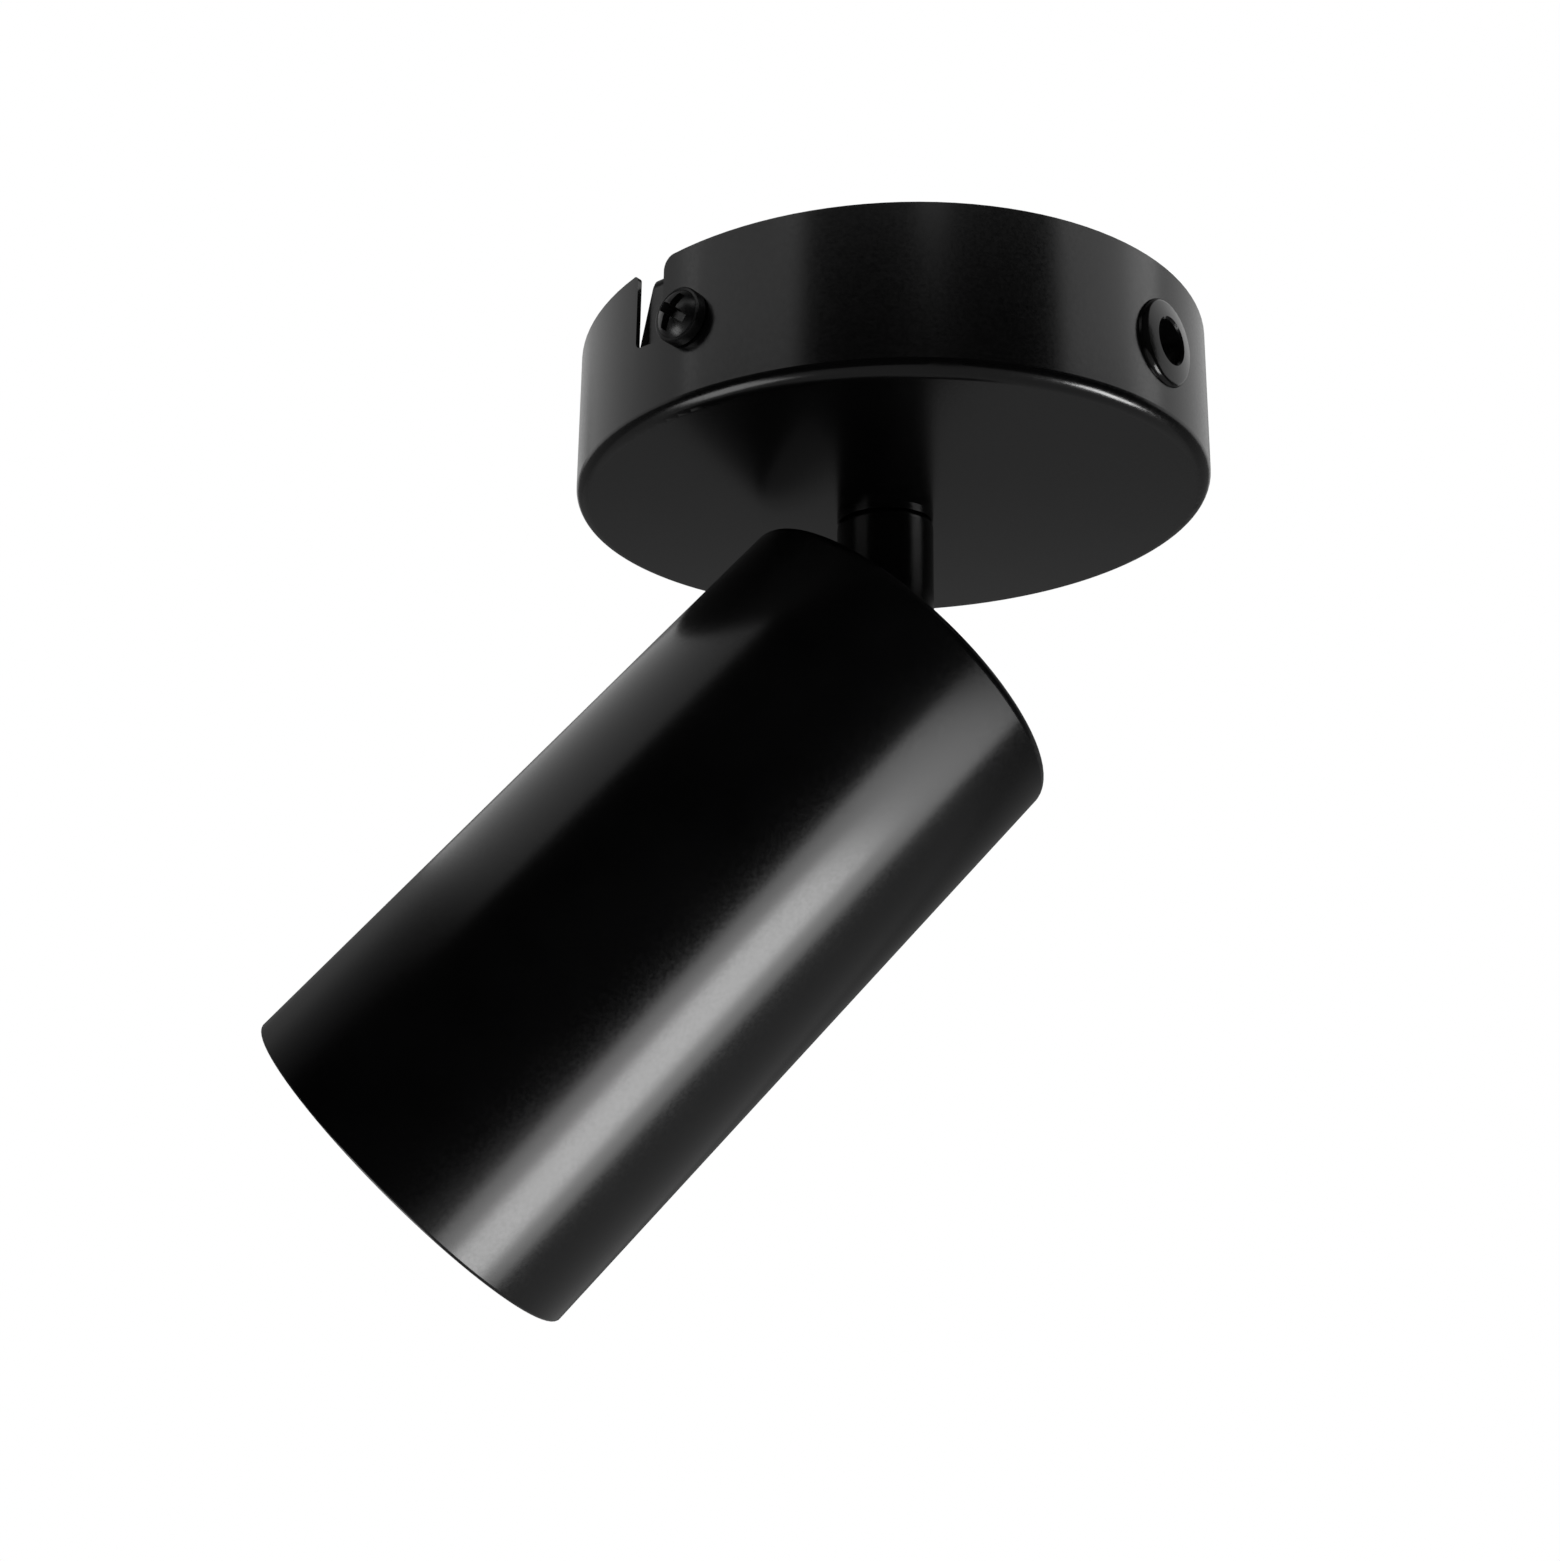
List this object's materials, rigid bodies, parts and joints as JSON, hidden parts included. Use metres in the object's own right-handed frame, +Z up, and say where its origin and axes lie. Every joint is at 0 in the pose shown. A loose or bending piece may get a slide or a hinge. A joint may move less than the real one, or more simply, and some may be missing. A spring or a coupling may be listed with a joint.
{
  "type": "ceiling spotlight",
  "caption": "Surface-mounted ceiling spot: shallow round canopy with bayonet slots, swivelling stem and a tilting cylindrical head for a twist-lock reflector lamp.",
  "frame": {"origin": "centre of the ceiling plane, where the mounting strap and the canopy's rim meet the ceiling", "axes": "+Z up into the ceiling, -X the way the head's mouth tilts, +Y along the tilt hinge"},
  "size_m": [0.1415, 0.1, 0.1475],
  "materials": {
    "black_paint": "satin black powder coat",
    "black_screw": "black plated, glossy",
    "black_rubber": "smooth",
    "zinc_steel": "zinc plated",
    "nylon": "plain",
    "ceramic": "white ceramic",
    "lamp_shell": "white",
    "lamp_glass": "fluted lens",
    "emitter": "yellow phosphor",
    "nickel_pin": "nickel plated",
    "terminal_plastic": "natural",
    "brass_terminal": "plain",
    "brown_sleeve": "insulation",
    "blue_sleeve": "insulation",
    "green_sleeve": "insulation"
  },
  "bodies": {
    "canopy": {"canopy": "black_paint", "mounting_strap": "black_paint", "canopy_screws": "black_screw", "cable_grommet": "black_rubber", "swivel_collar": "black_paint", "stop_peg": "zinc_steel", "terminal_block": "terminal_plastic", "terminal_sleeves": "brass_terminal", "terminal_screws": "brass_terminal", "block_screw": "zinc_steel", "earth_screw": "zinc_steel", "earth_lug": "brass_terminal", "earth_lead": "green_sleeve"},
    "stem": {"swivel_stem": "black_paint", "threaded_nipple": "zinc_steel", "spring_washer": "zinc_steel", "stop_washer": "zinc_steel", "lock_nut": "zinc_steel", "live_lead": "brown_sleeve", "neutral_lead": "blue_sleeve"},
    "head": {"head_shell": "black_paint", "hinge_bracket": "zinc_steel", "hinge_bolt": "zinc_steel", "hinge_nut": "zinc_steel", "friction_washers": "nylon", "lamp_holder": "ceramic", "holder_screws": "zinc_steel", "lamp_body": "lamp_shell", "lamp_lens": "lamp_glass", "lamp_emitter": "emitter", "lamp_pins": "nickel_pin"}
  },
  "joints": [
    {"name": "swivel", "type": "hinge", "parent": "canopy", "child": "stem", "pos_m": [0, 0, -0.0252], "axis": [0, 0, 1], "range_deg": [-168, 168], "deforming": ["live_lead", "neutral_lead"]},
    {"name": "tilt", "type": "hinge", "parent": "stem", "child": "head", "pos_m": [0, 0, -0.0535], "axis": [0, 1, 0], "range_deg": [-42.4, 7.6], "deforming": ["live_lead", "neutral_lead"]}
  ]
}
